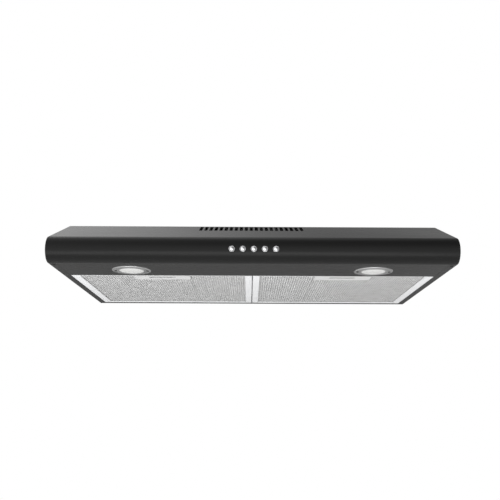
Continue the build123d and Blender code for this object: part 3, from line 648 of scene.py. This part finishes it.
def lamp_bezel(side):
    """A flat ring with a rolled outer edge and a raised lip round the lens."""
    low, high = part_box("lamp_bezel_" + side)
    rim = (high.x - low.x) / 2 / MM
    depth = (high.z - low.z) / MM
    face = depth * FACE_SHARE
    lip = arc((LENS_EDGE + LIP_RADIUS, depth - LIP_RADIUS), LIP_RADIUS, 180, 30, 6)
    roll = arc((rim - ROLL_RADIUS, face - ROLL_RADIUS), ROLL_RADIUS, 90, 0, 4)
    outline = [(LENS_EDGE, 0)] + lip + [(LENS_EDGE + 3.2, face)] + roll + [(rim, 0)]
    shape = spun(outline, ROUND_STEPS, closed=True)
    place_at(shape, ((low.x + high.x) / 2, (low.y + high.y) / 2, high.z), (0, 0, -1))
    smooth_faces(shape)
    node = "lamp_bezel_" + side
    return add_piece(node + "_turned", shape, bezel_metal, "housing", [node])


def lamp_lens(side):
    """A shallow frosted dome with a rounded edge."""
    low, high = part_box("lamp_lens_" + side)
    radius = (high.x - low.x) / 2 / MM
    depth = (high.z - low.z) / MM
    rise = depth * BULGE_SHARE
    dome = (radius**2 + rise**2) / (2 * rise)
    swing = math.degrees(math.asin(radius / dome))
    crown = arc((0, depth - dome), dome, 90, 90 - swing * 0.96, 10)
    shape = spun(crown + [(radius, depth - rise - 0.4), (radius, 0), (0, 0)], ROUND_STEPS)
    place_at(shape, ((low.x + high.x) / 2, (low.y + high.y) / 2, high.z), (0, 0, -1))
    smooth_faces(shape)
    node = "lamp_lens_" + side
    return add_piece(node + "_moulded", shape, frosted_lens, "housing", [node])


for side in SIDES:
    lamp_bezel(side)
    lamp_lens(side)
print("lamps", len(SIDES))

# %% [markdown]
# ## Expanded mesh
#
# The filters hold sheets of expanded aluminium. The real sheet is slit and pulled, which opens a pattern
# of staggered diamonds whose strands lean. A grid turned by an eighth and stretched has those diamonds.
# Insetting each cell and deleting its middle leaves the strands, moving the two sides of each opening up
# and down leans them, and solidify gives them their thickness. The front sheet is the finest of the
# four, and its strands lean so that, seen from the front and below, each row of diamonds shows as a stripe.

# %% Expanded mesh
SHEET_THICKNESS = 0.35 * MM
FRONT_RAISE = 0.9 * MM
FRONT_PATTERN = {"long_way": 9.6 * MM, "short_way": 5.0 * MM, "strand": 0.6 * MM, "lean": -2.6 * MM}
INNER_PATTERN = {"long_way": 15.0 * MM, "short_way": 7.6 * MM, "strand": 0.9 * MM, "lean": 1.0 * MM}
INNER_HEIGHTS = (0.1875, 0.5, 0.8125)  # as shares of the CAD node's height


def diamond_sheet(centre, width, depth, long_way, short_way, strand, lean):
    """Expanded metal over a rectangle in X and Y, cut clean at its edges. Sizes are in metres."""
    cells = math.ceil(width / long_way + depth / short_way) + 2
    half = cells / 2
    sheet = bmesh.new()
    bmesh.ops.create_grid(sheet, x_segments=cells, y_segments=cells, size=half)
    turn = Matrix.Rotation(math.radians(45), 4, "Z")
    stretch = Matrix.Diagonal((long_way / math.sqrt(2), short_way / math.sqrt(2), 1, 1))
    bmesh.ops.transform(sheet, matrix=Matrix.Translation(centre) @ stretch @ turn, verts=sheet.verts)
    trim(sheet, centre, width + 2 * long_way, depth + 2 * short_way)
    bonds = set(sheet.verts)
    bmesh.ops.inset_individual(sheet, faces=sheet.faces[:], thickness=strand, use_even_offset=True)
    middles = [face for face in sheet.faces if not bonds.intersection(face.verts)]
    for face in middles:
        middle = face.calc_center_median()
        for vert in face.verts:
            vert.co.z += lean * (vert.co.y - middle.y) / short_way
    bmesh.ops.delete(sheet, geom=middles, context="FACES_ONLY")
    trim(sheet, centre, width, depth)
    return sheet


def trim(sheet, centre, width, depth):
    """Cuts a sheet to a rectangle round the centre."""
    for along, reach in ((Vector((1, 0, 0)), width / 2), (Vector((0, 1, 0)), depth / 2)):
        for way in (-1, 1):
            geometry = sheet.verts[:] + sheet.edges[:] + sheet.faces[:]
            outward = along * way
            edge = Vector(centre) + outward * reach
            bmesh.ops.bisect_plane(sheet, geom=geometry, plane_co=edge, plane_no=outward, clear_outer=True)


def clear_latch(sheet, side):
    """Takes the space of the latch housing out of a sheet."""
    low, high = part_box("latch_housing_" + side)
    cuts = [(low, (1, 0, 0)), (high, (1, 0, 0)), (high, (0, 1, 0))]
    for point, along in cuts:
        geometry = sheet.verts[:] + sheet.edges[:] + sheet.faces[:]
        bmesh.ops.bisect_plane(sheet, geom=geometry, plane_co=point, plane_no=along)
    inside = []
    for face in sheet.faces:
        middle = face.calc_center_median()
        if low.x < middle.x < high.x and middle.y < high.y:
            inside.append(face)
    bmesh.ops.delete(sheet, geom=inside, context="FACES")


def mesh_sheet(node, side, z, pattern):
    """One layer of a filter, inside the box of its CAD node."""
    low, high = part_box(node)
    centre = Vector(((low.x + high.x) / 2, (low.y + high.y) / 2, z))
    sheet = diamond_sheet(centre, high.x - low.x, high.y - low.y, **pattern)
    clear_latch(sheet, side)
    bmesh.ops.recalc_face_normals(sheet, faces=sheet.faces)
    bmesh.ops.solidify(sheet, geom=sheet.faces[:], thickness=SHEET_THICKNESS)
    return sheet


for side in SIDES:
    body = "filter_" + side
    front = "filter_mesh_front_" + side
    sheet = mesh_sheet(front, side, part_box(front)[1].z + FRONT_RAISE, FRONT_PATTERN)
    add_piece(front + "_expanded", sheet, mesh_aluminium, body, [front])
    inner = "filter_mesh_inner_" + side
    low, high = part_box(inner)
    heights = [low.z + (high.z - low.z) * share for share in INNER_HEIGHTS]
    layers = [mesh_sheet(inner, side, z, INNER_PATTERN) for z in heights]
    add_piece(inner + "_expanded", join(layers), mesh_aluminium, body, [inner])
